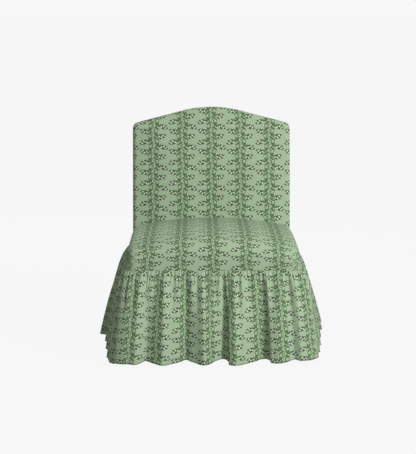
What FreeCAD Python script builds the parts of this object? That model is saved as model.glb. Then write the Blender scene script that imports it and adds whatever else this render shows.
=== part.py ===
import FreeCAD, Part
import math
import os
from FreeCAD import Placement, Rotation, Vector

# Skirted slipper chair: a low armless chair with a camel-arch back, a crowned tight seat and a
# gathered skirt. The front faces -Y, Z is up, the floor is z = 0 and the origin lies under the
# middle of the skirt's hem. Lengths are in millimetres, angles in degrees.

# Seat, over its cover
seat_front_width = 632.0
seat_depth = 560.0
seat_height = 466.0
seat_crown_radius = 1300.0
crown_from_front = 285.0
side_draft = 9.0
front_roll = 62.0
side_roll = 36.0
corner_radius = 36.0
roll_steps = 4
crown_steps = 6

# Back, over its covers; heights run along the raked back
back_narrowing = 35.0
back_thickness = 120.0
back_top = 849.0
back_rake = 8.0
face_below_crown = 16.0
back_foot = 160.0
arch_radius = 430.0
arch_slope = 14.5
shoulder_radius = 26.0
back_crown = 14.0
back_edge_radius = 18.0
dome_reach = 190.0
edge_steps = 3
dome_steps = 2
lining_edge_steps = 2

# Skirt: flares are how far the hem stands out from the body at the seam
seam_below_crown = 139.0
seam_turn_in = 8.0
rear_narrowing = 32.0
hem_height = 10.0
front_flare = 87.0
rear_flare = 121.0
front_side_flare = 44.0
rear_side_flare = 112.0
shoulder_drop = 62.0
shoulder_share = 0.4
cloth_thickness = 2.0
gather_depth = 7.0

# Folds of each width, from corner to corner: how wide the half folds are at the hem, and how
# far each of their ends stands out
front_fold_widths = [72.0, 66.0, 88.0, 74.0, 67.0, 48.0, 108.0, 57.0, 60.0, 26.0]
front_fold_ends = [-24.0, 8.0, -30.0, 12.0, -34.0, 14.0, -34.0, 10.0, -12.0]
right_fold_widths = [80.0, 72.0, 70.0, 56.0, 66.0, 70.0, 68.0, 64.0, 66.0, 52.0, 67.0]
right_fold_ends = [-30.0, 6.0, -28.0, 10.0, -26.0, 10.0, -30.0, 12.0, -30.0, 10.0]
rear_fold_widths = [84.0, 63.0, 55.0, 62.0, 67.0, 61.0, 68.0, 74.0, 56.0, 35.0]
rear_fold_ends = [-30.0, 10.0, -26.0, 14.0, -26.0, 12.0, -28.0, 10.0, -18.0]
left_fold_widths = [82.0, 64.0, 62.0, 65.0, 57.0, 66.0, 70.0, 64.0, 66.0, 60.0, 75.0]
left_fold_ends = [-30.0, 12.0, -28.0, 10.0, -26.0, 8.0, -28.0, 8.0, -26.0, 6.0]
fold_chords = 6
arc_chords = 3
hem_corner_radius = 62.0
rear_corner_radius = 8.0
tape_thickness = 1.5
tape_height = 12.0
tape_above_seam = 3.0

# Upholstery layers
cover = 2.0
fit = 0.3
board = 3.0
deck_cloth = 1.0
webbing = 2.0
webbing_width = 50.0
webbing_bands = 4
strap = 1.4
strap_width = 50.0
strap_tack = 8.0
lengthwise_straps = 5
crosswise_straps = 5
dust_cloth = 1.0
dust_cloth_margin = 6.0

# Hardwood frame
rail_thickness = 26.0
rail_height = 105.0
rail_below_crown = 121.0
front_padding = 19.0
side_padding = 10.5
leg_size = 46.0
foot_size = 30.0
leg_chamfer = 20.0
leg_top_gap = 4.0
upright_width = 42.0
upright_depth = 46.0
knee_depth = 60.0
knee_rise = 45.0
knee_radius = 180.0
rear_leg_splay = 28.0
crest_rail_bottom = 735.0
back_rail_above_seat = 39.0
back_rail_height = 50.0
block_arm = 105.0
block_height = 70.0
block_drop = 15.0
rear_block_arm = 60.0
rear_block_depth = 18.0

# Hardware
bolt = 8.0
bolt_length = 70.0
bolt_in_leg = 32.0
nut_across_flats = 13.0
nut_height = 6.5
glide = 24.0
glide_height = 5.0

# Places that follow from the sizes
rake = math.radians(back_rake)
back_width = seat_front_width - back_narrowing
rear_width = seat_front_width - rear_narrowing
back_face_level = seat_height - face_below_crown
seam_height = seat_height - seam_below_crown
rail_top = seat_height - rail_below_crown
back_rail_bottom = rail_top + back_rail_above_seat
body_depth = (
    seat_depth
    - (back_face_level - seam_height) * math.tan(rake)
    + back_thickness / math.cos(rake)
)
body_front = (front_flare - body_depth - rear_flare) / 2
skirt_turn = seam_height - seam_turn_in
frame_half = back_width / 2 - side_padding
frame_front = body_front + front_padding
rail_bottom = rail_top - rail_height


def front_face_y(z):
    return body_front + seat_depth + (z - back_face_level) * math.tan(rake)


def rear_face_y(z):
    return front_face_y(z) + back_thickness / math.cos(rake)


back_place = Placement(Vector(0, rear_face_y(0), 0), Rotation(Vector(1, 0, 0), -back_rake))


def placed(shape, placement):
    moved = shape.copy()
    moved.Placement = placement.multiply(moved.Placement)
    return moved


def box(x0, x1, y0, y1, z0, z1):
    return Part.makeBox(x1 - x0, y1 - y0, z1 - z0, Vector(x0, y0, z0))


def flat_face(points):
    return Part.Face(Part.makePolygon(points + points[:1]))


def prism(points, along):
    return flat_face(points).extrude(along)


def mirrored(shape):
    return shape.mirror(Vector(0, 0, 0), Vector(1, 0, 0))


def half_width(y, z):
    """Half the body's width over its covers: it narrows to the rear and towards the top."""
    taper = (seat_front_width - rear_width) / 2 * (y - body_front) / body_depth
    return seat_front_width / 2 - taper - (z - seam_height) * math.tan(math.radians(side_draft))


def roll_centre(radius, crown, start, along):
    """Centre of a rolled edge that touches a straight wall and the crown's arc from inside."""
    crown_centre, crown_radius = crown
    offset = start - crown_centre
    half_b = offset.dot(along)
    reach = math.sqrt(half_b**2 - offset.dot(offset) + (crown_radius - radius) ** 2)
    return start + along * (reach - half_b)


def seat_top(y, inset):
    """Height of the seat's middle line: a front roll that runs into the crown."""
    crown_centre = Vector(0, body_front + crown_from_front, seat_height - seat_crown_radius)
    crown = (crown_centre, seat_crown_radius - inset)
    radius = front_roll - inset
    start = Vector(0, body_front + front_roll, seam_height)
    centre = roll_centre(radius, crown, start, Vector(0, 0, 1))
    touch = centre + (centre - crown_centre).normalize() * radius
    if y < touch.y:
        return centre.z + math.sqrt(max(radius**2 - (y - centre.y) ** 2, 0))
    return crown_centre.z + math.sqrt(crown[1] ** 2 - (y - crown_centre.y) ** 2)


def seat_section(y, inset, bottom):
    """Cross-section of the seat at one depth: drafted sides, rolled edges and a crown."""
    corner = max(corner_radius - (y - body_front), 0)
    corner_inset = corner_radius - inset
    corner = min(corner, corner_inset)
    setback = corner_inset - math.sqrt(corner_inset**2 - corner**2)
    draft = math.radians(side_draft)
    foot = Vector(half_width(y, bottom) - inset / math.cos(draft) - setback, y, bottom)
    normal = Vector(math.cos(draft), 0, math.sin(draft))
    up_side = Vector(-math.sin(draft), 0, math.cos(draft))
    radius = side_roll - inset
    crown_radius = seat_crown_radius - inset
    crown_centre = Vector(0, y, seat_top(y, inset) - crown_radius)
    centre = roll_centre(radius, (crown_centre, crown_radius), foot - normal * radius, up_side)
    outward = (centre - crown_centre).normalize()
    side_touch = centre + normal * radius
    roll_middle = centre + (normal + outward).normalize() * radius
    crown_touch = centre + outward * radius

    def left(point):
        return Vector(-point.x, point.y, point.z)

    crest = Vector(0, y, seat_top(y, inset))
    edges = [
        Part.makeLine(left(foot), foot),
        Part.makeLine(foot, side_touch),
        Part.Arc(side_touch, roll_middle, crown_touch).toShape(),
        Part.Arc(crown_touch, crest, left(crown_touch)).toShape(),
        Part.Arc(left(crown_touch), left(roll_middle), left(side_touch)).toShape(),
        Part.makeLine(left(side_touch), left(foot)),
    ]
    return Part.Wire(edges)


def seat_form(inset, bottom):
    """The seat's outside, or a layer inside it: drawn-in sides, a crown and a rolled front."""
    front = body_front + inset
    rear = front_face_y(seat_height) + back_crown + back_edge_radius
    radius = front_roll - inset
    depths = []
    for step in range(roll_steps):
        turn = math.pi / 2 * step / roll_steps
        depths.append(front + radius * (1 - math.cos(turn)))
    for step in range(crown_steps + 1):
        depths.append(front + radius + (rear - front - radius) * step / crown_steps)
    sections = [seat_section(y, inset, bottom) for y in depths]
    form = Part.makeLoft(sections, True, True)
    profile = back_profile(-fit - inset, edge_steps)[1:]
    half = back_width / 2 + fit + inset
    flank = [Vector(half - shrink, -depth, 0) for shrink, depth in profile]
    flank.insert(0, Vector(seat_front_width, flank[0].y, 0))
    flank += [Vector(-point.x, point.y, 0) for point in flank[::-1]]
    flank += [Vector(-seat_front_width, seat_depth, 0), Vector(seat_front_width, seat_depth, 0)]
    return form.cut(placed(prism(flank, Vector(0, 0, 2 * seat_height)), back_place))


def back_outline(inset, bottom, y):
    """Outline of the back at local depth y: straight sides, small shoulders and a camel arch."""
    half = back_width / 2 - inset
    crest = back_top - inset
    slope = math.radians(arch_slope)
    crest_r = arch_radius - inset
    corner_r = max(shoulder_radius - inset, shoulder_radius / 4)
    flank_x = crest_r * math.sin(slope)
    flank_z = crest - crest_r * (1 - math.cos(slope))
    corner_x = half - corner_r
    corner_z = flank_z - (corner_r + (corner_x - flank_x) * math.sin(slope)) / math.cos(slope)
    mid = (math.pi / 2 - slope) / 2

    def point(x, z):
        return Vector(x, y, z)

    def corner(angle, side):
        return point(
            side * (corner_x + corner_r * math.cos(angle)),
            corner_z + corner_r * math.sin(angle),
        )

    top = math.pi / 2 - slope
    edges = [
        Part.makeLine(point(-half, bottom), point(half, bottom)),
        Part.makeLine(point(half, bottom), corner(0, 1)),
        Part.Arc(corner(0, 1), corner(mid, 1), corner(top, 1)).toShape(),
        Part.makeLine(corner(top, 1), point(flank_x, flank_z)),
        Part.Arc(point(flank_x, flank_z), point(0, crest), point(-flank_x, flank_z)).toShape(),
        Part.makeLine(point(-flank_x, flank_z), corner(top, -1)),
        Part.Arc(corner(top, -1), corner(mid, -1), corner(0, -1)).toShape(),
        Part.makeLine(corner(0, -1), point(-half, bottom)),
    ]
    return Part.Wire(edges)


def back_slab(inset, front, rear, bottom):
    """A slab with the back's outline between two local depths, both counted forward."""
    face = Part.Face(back_outline(inset, bottom, -front))
    return face.extrude(Vector(0, front - rear, 0))


def back_profile(inset, edge_steps):
    """Insets and depths of the back from its rear face round the front edge to the crown."""
    radius = back_edge_radius - inset
    edge_depth = back_thickness - back_crown
    stations = [(0, 0)]
    for step in range(edge_steps + 1):
        turn = math.pi / 2 * step / edge_steps
        shrink = radius * (1 - math.cos(turn))
        stations.append((shrink, edge_depth - back_edge_radius + radius * math.sin(turn)))
    for step in range(1, dome_steps + 1):
        share = step / dome_steps
        shrink = radius + (dome_reach - radius) * share
        stations.append((shrink, edge_depth - inset + back_crown * (1 - (1 - share) ** 2)))
    return stations


def back_form(inset, bottom, edge_steps):
    """The back's outside, or a layer inside it: a crowned front with rounded front edges."""
    sections = []
    for shrink, depth in back_profile(inset, edge_steps):
        sections.append(back_outline(inset + shrink, bottom, -depth))
    return Part.makeLoft(sections, True, True)


def wood_rear_y(z):
    """The raked plane of the frame's rear faces, under the outside cover and its board."""
    return rear_face_y(z) - (cover + fit + board) / math.cos(rake)


def back_point(x, depth, height):
    """A point of the raked back: depth is counted forward from its rear face."""
    return back_place.multVec(Vector(x, -depth, height))


def back_box(half, front, rear, low, high):
    return placed(box(-half, half, -front, -rear, low, high), back_place)


def cut_level(shape, z):
    """The shape without what lies below a level."""
    return shape.cut(box(-seat_front_width, seat_front_width, -seat_depth, seat_depth, -z, z))


wood_depth = cover + fit + board
post_front = wood_depth + upright_depth
knee_front = wood_rear_y(rail_top) - knee_depth
inner_x = frame_half - rail_thickness
inner_y = frame_front + rail_thickness
upright_inner_x = frame_half - upright_width
rear_foot_y = wood_rear_y(rail_bottom) + rear_leg_splay
block_top = rail_top - block_drop
strap_high = rail_top + strap + fit
deck_top = strap_high + strap + fit + deck_cloth


# Hardwood frame

def front_seat_rail():
    return box(-frame_half, frame_half, frame_front, inner_y, rail_bottom, rail_top)


def side_seat_rail():
    return box(inner_x, frame_half, inner_y, knee_front, rail_bottom, rail_top)


def rear_seat_rail():
    """The rear rail stands between the uprights and leans with the back."""
    low = wood_rear_y(rail_bottom)
    high = wood_rear_y(rail_top)
    x = -upright_inner_x
    section = [
        Vector(x, low, rail_bottom),
        Vector(x, high, rail_top),
        Vector(x, high - rail_thickness, rail_top),
        Vector(x, low - rail_thickness, rail_bottom),
    ]
    return prism(section, Vector(2 * upright_inner_x, 0, 0))


def back_upright():
    """One bent piece: a splayed rear leg, a deep knee at the seat and a raked post."""
    x = upright_inner_x
    post_rear = back_point(x, wood_depth, crest_rail_bottom)
    post_top_front = back_point(x, post_front, crest_rail_bottom)
    knee_top = rail_top + knee_rise
    post_foot_y = wood_rear_y(knee_top) - upright_depth / math.cos(rake)
    outline = [
        Vector(x, rear_foot_y, glide_height),
        Vector(x, wood_rear_y(rail_bottom), rail_bottom),
        post_rear,
        post_top_front,
        Vector(x, post_foot_y, knee_top),
        Vector(x, knee_front, rail_top),
        Vector(x, knee_front, rail_bottom),
        Vector(x, rear_foot_y - foot_size, glide_height),
    ]
    upright = prism(outline, Vector(upright_width, 0, 0))
    knee = []
    for edge in upright.Edges:
        middle = edge.CenterOfMass
        on_knee = abs(middle.z - rail_bottom) < fit and middle.y > wood_rear_y(rail_bottom) - fit
        if on_knee and edge.BoundBox.XLength > upright_width / 2:
            knee.append(edge)
    return upright.makeFillet(knee_radius, knee)


def crest_rail():
    rail = back_slab(side_padding, post_front, wood_depth, crest_rail_bottom)
    return placed(rail, back_place)


def lower_back_rail():
    top = back_rail_bottom + back_rail_height
    rear = post_front - rail_thickness
    return back_box(upright_inner_x, post_front, rear, back_rail_bottom, top)


bolt_axis = Vector(-1, 1, 0).normalize()
bolt_seat = Vector(
    inner_x - leg_size + leg_chamfer / 2,
    inner_y + leg_size - leg_chamfer / 2,
    block_top - block_height / 2,
)
block_thickness = math.sqrt(2) * (block_arm - 2 * leg_size + leg_chamfer) / 2


def bolt_rod(diameter, start, end):
    """A rod on the leg bolt's axis, between two distances from the leg's cut corner."""
    foot = bolt_seat + bolt_axis * start
    return Part.makeCylinder(diameter / 2, end - start, foot, bolt_axis)


def leg_taper(along, inward):
    """The wedge taken off one inner face of a front leg, from the rail down to the foot."""
    corner = Vector(inner_x, inner_y, 0) + inward * leg_size
    start = corner - along * leg_size
    points = [
        start + Vector(0, 0, rail_bottom),
        start + inward * leg_size,
        start - inward * (leg_size - foot_size),
    ]
    return prism(points, along * (2 * leg_size))


def front_leg():
    """A square leg set into the frame's corner, tapered below it, its inner corner cut off."""
    foot = Vector(0, 0, glide_height)
    points = [
        Vector(inner_x, inner_y, 0) + foot,
        Vector(inner_x, inner_y + leg_size, 0) + foot,
        Vector(inner_x - leg_size + leg_chamfer, inner_y + leg_size, 0) + foot,
        Vector(inner_x - leg_size, inner_y + leg_size - leg_chamfer, 0) + foot,
        Vector(inner_x - leg_size, inner_y, 0) + foot,
    ]
    leg = prism(points, Vector(0, 0, rail_top - leg_top_gap - glide_height))
    along_x = Vector(1, 0, 0)
    along_y = Vector(0, 1, 0)
    leg = leg.cut(leg_taper(along_y, -along_x)).cut(leg_taper(along_x, along_y))
    return leg.cut(bolt_rod(bolt + 2 * fit, -bolt_in_leg - fit, leg_size))


def front_corner_block():
    low = block_top - block_height
    points = [
        Vector(inner_x - leg_size, inner_y, low),
        Vector(inner_x - leg_size, inner_y + leg_size - leg_chamfer, low),
        Vector(inner_x - leg_size + leg_chamfer, inner_y + leg_size, low),
        Vector(inner_x, inner_y + leg_size, low),
        Vector(inner_x, inner_y + block_arm, low),
        Vector(inner_x - block_arm, inner_y, low),
    ]
    block = prism(points, Vector(0, 0, block_height))
    return block.cut(bolt_rod(bolt + 2 * fit, -leg_chamfer, leg_size))


def rear_corner_block():
    """A glue block behind each end of the rear rail, leaning with the rail's front."""
    levels = []
    for z in (block_top - block_height, block_top):
        face = wood_rear_y(z) - rail_thickness
        points = [
            Vector(upright_inner_x, face, z),
            Vector(upright_inner_x - rear_block_arm, face, z),
            Vector(upright_inner_x, face - rear_block_depth, z),
        ]
        levels.append(Part.makePolygon(points + points[:1]))
    return Part.makeLoft(levels, True, True)


# Leg bolts and floor glides

def leg_bolt():
    return bolt_rod(bolt, -bolt_in_leg, bolt_length - bolt_in_leg)


def leg_nut():
    """A hexagon nut screwed up against the corner block."""
    reach = nut_across_flats / math.sqrt(3)
    start = block_thickness
    sideways = Vector(1, 1, 0).normalize()
    points = []
    for corner in range(6):
        turn = math.radians(60 * corner)
        spoke = sideways * (reach * math.cos(turn)) + Vector(0, 0, reach * math.sin(turn))
        points.append(bolt_seat + bolt_axis * start + spoke)
    nut = prism(points, bolt_axis * nut_height)
    return nut.cut(bolt_rod(bolt + 2 * fit, 0, bolt_length))


def leg_glides():
    """A round steel glide under each of the four feet."""
    front = Vector(inner_x - foot_size / 2, inner_y + foot_size / 2, 0)
    rear = Vector(frame_half - upright_width / 2, rear_foot_y - foot_size / 2, 0)
    glides = []
    for place in (front, rear):
        disc = Part.makeCylinder(glide / 2, glide_height, place)
        glides += [disc, mirrored(disc)]
    return Part.makeCompound(glides)


# Webbed seat deck

def woven_strap(start, end, crossings, across, width, over_first):
    """A strap of webbing that passes over and under the straps that it crosses."""
    ahead = (end - start).normalize()
    lanes = [(0, 0)]
    over = over_first
    for crossing in crossings:
        height = strap + fit if over else 0
        lanes.append((crossing - strap_width / 2 - strap, height))
        lanes.append((crossing + strap_width / 2 + strap, height))
        over = not over
    lanes.append(((end - start).Length, 0))
    lower = [start + ahead * along + Vector(0, 0, height) for along, height in lanes]
    upper = [point + Vector(0, 0, strap) for point in lower]
    return prism([point - across * (width / 2) for point in lower + upper[::-1]], across * width)


def spaced(count, start, end):
    """Middles of equal strips between two ends."""
    return [start + (end - start) * (index + 0.5) / count for index in range(count)]


strap_columns = spaced(lengthwise_straps, -upright_inner_x, upright_inner_x)
strap_rows = spaced(crosswise_straps, inner_y, knee_front)


def lengthwise_webbing():
    front = frame_front + strap_tack
    rear = wood_rear_y(rail_top) - strap_tack
    crossings = [row - front for row in strap_rows]
    straps = []
    for index, x in enumerate(strap_columns):
        start = Vector(x, front, rail_top)
        end = Vector(x, rear, rail_top)
        side = Vector(1, 0, 0)
        straps.append(woven_strap(start, end, crossings, side, strap_width, index % 2 == 0))
    return Part.makeCompound(straps)


def crosswise_webbing():
    reach = frame_half - strap_tack
    crossings = [column + reach for column in strap_columns]
    straps = []
    for index, y in enumerate(strap_rows):
        start = Vector(-reach, y, rail_top)
        end = Vector(reach, y, rail_top)
        side = Vector(0, -1, 0)
        straps.append(woven_strap(start, end, crossings, side, strap_width, index % 2 == 1))
    return Part.makeCompound(straps)


def seat_deck_cloth():
    """The hessian that lies on the webbing and keeps the foam out of its gaps."""
    low = strap_high + strap + fit
    front = frame_front + strap_tack
    rear = wood_rear_y(rail_top) - strap_tack
    half = upright_inner_x - fit
    return box(-half, half, front, rear, low, low + deck_cloth)


# Seat upholstery

def seat_foam():
    """The seat's foam: crowned above, flat on the deck, with a lip round the rails."""
    side = frame_half + fit
    frame = box(-side, side, frame_front - fit, seat_depth, 0, deck_top + fit)
    return seat_form(cover + fit, skirt_turn).cut(frame)


def seat_cover():
    """The printed cover of the seat, open below and let in over the deck at the rear."""
    shell = seat_form(0, skirt_turn).cut(seat_form(cover, skirt_turn - cover))
    side = frame_half + fit
    rear = front_face_y(rail_top)
    return shell.cut(box(-side, side, rear - front_roll, rear + front_roll, 0, deck_top + fit))


# Back upholstery

foam_rear = post_front + webbing + fit


def back_webbing():
    """Elastic bands across the fronts of the uprights."""
    low = back_rail_bottom + back_rail_height
    step = (crest_rail_bottom - low) / webbing_bands
    bands = []
    for index in range(webbing_bands):
        middle = low + step * (index + 0.5)
        top = middle + webbing_width / 2
        half = frame_half - fit
        bands.append(back_box(half, post_front + webbing, post_front, top - webbing_width, top))
    return Part.makeCompound(bands)


def back_foam():
    foam = back_form(cover + fit, back_rail_bottom, lining_edge_steps)
    room = box(-back_width, back_width, -foam_rear, back_thickness, 0, back_top)
    return placed(foam.cut(room), back_place)


def back_border_padding():
    """Thin padding over the frame's sides and crest, between the foam and the board."""
    outer = back_slab(cover + fit, foam_rear - fit, wood_depth, back_foot)
    inner = back_slab(side_padding - fit, back_thickness, 0, back_foot - cover)
    return cut_level(placed(outer.cut(inner), back_place), skirt_turn)


def inside_back_cover():
    """The printed cover of the back's face, top and sides, let in above the seat deck."""
    shell = back_form(0, back_foot, edge_steps)
    shell = shell.cut(back_form(cover, back_foot - cover, lining_edge_steps))
    side = frame_half + fit
    tuck = back_rail_bottom - cover - fit
    deck = box(-side, side, -2 * back_thickness, -foam_rear, 0, tuck)
    return cut_level(placed(shell.cut(deck), back_place), skirt_turn)


def outside_back_cover():
    sheet = back_slab(cover + fit, cover, 0, back_foot)
    return cut_level(placed(sheet, back_place), skirt_turn)


def back_board():
    """A stiff board that keeps the outside cover flat across the open frame."""
    sheet = back_slab(cover + 2 * fit, wood_depth, cover + fit, back_foot)
    return cut_level(placed(sheet, back_place), skirt_turn)


def dust_cover():
    """Thin cloth stapled under the seat rails, cut out round the legs."""
    margin = dust_cloth_margin
    side = frame_half - margin
    low = rail_bottom - dust_cloth
    rear = wood_rear_y(rail_bottom) - margin
    sheet = box(-side, side, frame_front + margin, rear, low, rail_bottom)
    reach = leg_size + fit
    front_notch = box(inner_x - reach, frame_half, frame_front, inner_y + reach, 0, rail_top)
    rear_notch = box(upright_inner_x - fit, frame_half, knee_front - fit, seat_depth, 0, rail_top)
    for notch in (front_notch, rear_notch):
        sheet = sheet.cut(notch).cut(mirrored(notch))
    return sheet


# Gathered skirt

def turned(direction):
    """The outward side of a run that goes round the chair from left to right."""
    return Vector(direction.y, -direction.x, 0)


def bent_run(start, start_tangent, end, end_tangent):
    """Points after start on the way to end: a straight run, or an arc taken in equal chords."""
    if (start_tangent - end_tangent).Length < 1e-6:
        return [end]
    chord = end - start
    along = chord.dot(start_tangent)
    inward = chord - start_tangent * along
    radius = chord.dot(chord) / (2 * inward.Length)
    inward.normalize()
    sweep = 2 * math.atan2(inward.dot(chord), along)
    points = []
    for step in range(1, arc_chords):
        turn = sweep * step / arc_chords
        offset = start_tangent * math.sin(turn) + inward * (1 - math.cos(turn))
        points.append(start + offset * radius)
    return points + [end]


skirt_stand = fit + tape_thickness + fit + gather_depth + cloth_thickness


def skirt_corners(level):
    """Outer corners of the skirt, round from the left front: 0 at the seam, 1 at the hem."""
    front_x = seat_front_width / 2 + skirt_stand + front_side_flare * level
    rear_x = rear_width / 2 + skirt_stand + rear_side_flare * level
    front_y = body_front - skirt_stand - (front_flare - skirt_stand) * level
    rear_y = rear_face_y(seam_height + tape_above_seam) + skirt_stand
    rear_y += (rear_flare - skirt_stand) * level
    return [
        Vector(-front_x, front_y, 0),
        Vector(front_x, front_y, 0),
        Vector(rear_x, rear_y, 0),
        Vector(-rear_x, rear_y, 0),
    ]


def corner_round(index, level):
    """How far from its corner the skirt's rounding starts, growing from seam to hem."""
    at_seam = skirt_stand + (corner_radius if index in (0, 1) else rear_corner_radius)
    return at_seam + (hem_corner_radius - at_seam) * level


def rounded_corner(index, level):
    """The middle of a corner's rounding, and the way the cloth runs there."""
    corners = skirt_corners(level)
    before = (corners[index] - corners[index - 1]).normalize()
    after = (corners[(index + 1) % 4] - corners[index]).normalize()
    tangent = (before + after).normalize()
    half_turn = math.acos(tangent.dot(after))
    radius = corner_round(index, level) / math.tan(half_turn)
    middle = corners[index] - turned(tangent) * (radius / math.cos(half_turn) - radius)
    return middle, tangent


def skirt_line(panel, level, widths, ends):
    """Points of a width's outer face at the seam or the hem, and its tangents at the corners."""
    following = (panel + 1) % 4
    corners = skirt_corners(level)
    start = corners[panel]
    ahead = (corners[following] - start).normalize()
    outward = turned(ahead)
    first = corner_round(panel, level)
    length = (corners[following] - start).Length - first - corner_round(following, level)
    middle, first_tangent = rounded_corner(panel, level)
    line = [middle] + bent_run(middle, first_tangent, start + ahead * first, ahead)
    stands = [0] + ends + [0]
    run = 0
    for index, width in enumerate(widths):
        low, high = stands[index:index + 2]
        if level == 0:
            low, high = (0, -gather_depth) if index % 2 == 0 else (-gather_depth, 0)
            if index == len(widths) - 1:
                high = 0
        for chord in range(1, fold_chords + 1):
            share = chord / fold_chords
            along = first + length * (run + width * share) / sum(widths)
            ease = (1 - math.cos(math.pi * share)) / 2
            line.append(start + ahead * along + outward * (low + (high - low) * ease))
        run += width
    middle, last_tangent = rounded_corner(following, level)
    line += bent_run(line[-1], ahead, middle, last_tangent)
    return line, first_tangent, last_tangent


def cloth_faces(outer, first_tangent, last_tangent, height):
    """The cloth's outer and inner edge at one level, square to the way the cloth runs."""
    ways = [first_tangent]
    ways += [ahead - behind for behind, ahead in zip(outer, outer[2:])]
    ways.append(last_tangent)
    lift = Vector(0, 0, height)
    inner = []
    for point, way in zip(outer, ways):
        inner.append(point - turned(way).normalize() * cloth_thickness + lift)
    return [point + lift for point in outer], inner


def strip(upper, lower):
    """Flat three-cornered faces between two lines of cloth with as many points."""
    faces = []
    for a, b, c, d in zip(upper, upper[1:], lower[1:], lower):
        faces += [flat_face([a, b, c]), flat_face([a, c, d])]
    return faces


def skirt_panel(panel, widths, ends):
    """One gathered width of the skirt: small gathers at the seam, deep folds at the hem."""
    seam_line, *seam_ways = skirt_line(panel, 0, widths, ends)
    hem_line, *hem_ways = skirt_line(panel, 1, widths, ends)
    levels = []
    heights = (seam_height + tape_above_seam, seam_height - shoulder_drop, hem_height)
    for share, height in zip((0, shoulder_share, 1), heights):
        outer = [top + (low - top) * share for top, low in zip(seam_line, hem_line)]
        ways = [(top + (low - top) * share).normalize() for top, low in zip(seam_ways, hem_ways)]
        levels.append(cloth_faces(outer, ways[0], ways[1], height))
    faces = strip(*levels[0]) + strip(*levels[-1])
    for (outer_top, inner_top), (outer_low, inner_low) in zip(levels, levels[1:]):
        faces += strip(outer_top, outer_low) + strip(inner_top, inner_low)
        for end in (0, -1):
            faces.append(flat_face([outer_top[end], inner_top[end], inner_low[end]]))
            faces.append(flat_face([outer_top[end], inner_low[end], outer_low[end]]))
    shell = Part.makeShell(faces)
    shell.sewShape()
    solid = Part.makeSolid(shell)
    return solid if solid.Volume > 0 else solid.reversed()


def skirt_tape():
    """The heading tape that carries the gathers, as four strips against the covers."""
    high = seam_height + tape_above_seam
    low = high - tape_height

    def length_of_tape(line_at):
        sections = []
        for z in (low, high):
            start, end = line_at(z)
            out = turned((end - start).normalize())
            corners = [start + out * fit, end + out * fit]
            corners += [end + out * (fit + tape_thickness), start + out * (fit + tape_thickness)]
            sections.append(Part.makePolygon(corners + corners[:1]))
        return Part.makeLoft(sections, True, True)

    def front_line(z):
        x = half_width(body_front, z) - corner_radius
        return Vector(-x, body_front, z), Vector(x, body_front, z)

    def side_line(z):
        y = body_front + corner_radius
        rear = rear_face_y(z)
        return Vector(half_width(y, z), y, z), Vector(half_width(rear, z), rear, z)

    def rear_line(z):
        x = back_width / 2
        return Vector(x, rear_face_y(z), z), Vector(-x, rear_face_y(z), z)

    side = length_of_tape(side_line)
    ends = [length_of_tape(front_line), length_of_tape(rear_line)]
    return Part.makeCompound([side, mirrored(side)] + ends)


def pair(shape):
    return Part.makeCompound([shape, mirrored(shape)])


nodes = {
    "front_seat_rail": front_seat_rail(),
    "rear_seat_rail": rear_seat_rail(),
    "right_seat_rail": side_seat_rail(),
    "left_seat_rail": mirrored(side_seat_rail()),
    "right_back_upright": back_upright(),
    "left_back_upright": mirrored(back_upright()),
    "crest_rail": crest_rail(),
    "lower_back_rail": lower_back_rail(),
    "front_right_leg": front_leg(),
    "front_left_leg": mirrored(front_leg()),
    "front_corner_blocks": pair(front_corner_block()),
    "rear_corner_blocks": pair(rear_corner_block()),
    "leg_bolts": pair(leg_bolt()),
    "leg_nuts": pair(leg_nut()),
    "leg_glides": leg_glides(),
    "lengthwise_seat_webbing": lengthwise_webbing(),
    "crosswise_seat_webbing": crosswise_webbing(),
    "seat_deck_cloth": seat_deck_cloth(),
    "seat_foam": seat_foam(),
    "seat_cover": seat_cover(),
    "back_webbing": back_webbing(),
    "back_foam": back_foam(),
    "back_border_padding": back_border_padding(),
    "inside_back_cover": inside_back_cover(),
    "outside_back_cover": outside_back_cover(),
    "back_board": back_board(),
    "dust_cover": dust_cover(),
    "skirt_tape": skirt_tape(),
    "skirt_front": skirt_panel(0, front_fold_widths, front_fold_ends),
    "skirt_right": skirt_panel(1, right_fold_widths, right_fold_ends),
    "skirt_rear": skirt_panel(2, rear_fold_widths, rear_fold_ends),
    "skirt_left": skirt_panel(3, left_fold_widths, left_fold_ends),
}
os.makedirs("parts", exist_ok=True)
for name, shape in nodes.items():
    shape.exportStep(f"parts/{name}.step")
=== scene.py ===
import math
import bpy
import numpy as np
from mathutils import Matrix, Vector


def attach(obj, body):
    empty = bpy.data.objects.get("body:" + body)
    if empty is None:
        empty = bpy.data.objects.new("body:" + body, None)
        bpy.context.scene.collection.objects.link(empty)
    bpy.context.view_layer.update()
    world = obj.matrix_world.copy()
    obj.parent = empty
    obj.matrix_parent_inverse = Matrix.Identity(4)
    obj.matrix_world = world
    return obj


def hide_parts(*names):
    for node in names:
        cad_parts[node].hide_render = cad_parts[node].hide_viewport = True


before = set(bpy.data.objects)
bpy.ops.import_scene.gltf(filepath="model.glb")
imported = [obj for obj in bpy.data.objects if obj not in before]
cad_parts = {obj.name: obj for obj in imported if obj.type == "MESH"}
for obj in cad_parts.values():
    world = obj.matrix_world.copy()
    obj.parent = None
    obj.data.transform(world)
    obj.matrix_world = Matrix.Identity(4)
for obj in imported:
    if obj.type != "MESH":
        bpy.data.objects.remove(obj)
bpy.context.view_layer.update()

# Hardwood frame: beech rails, uprights, crest rail and corner blocks, planed, doweled and
# glued. It stays raw under the covers; only the feet below the seat rails are stained.


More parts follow.
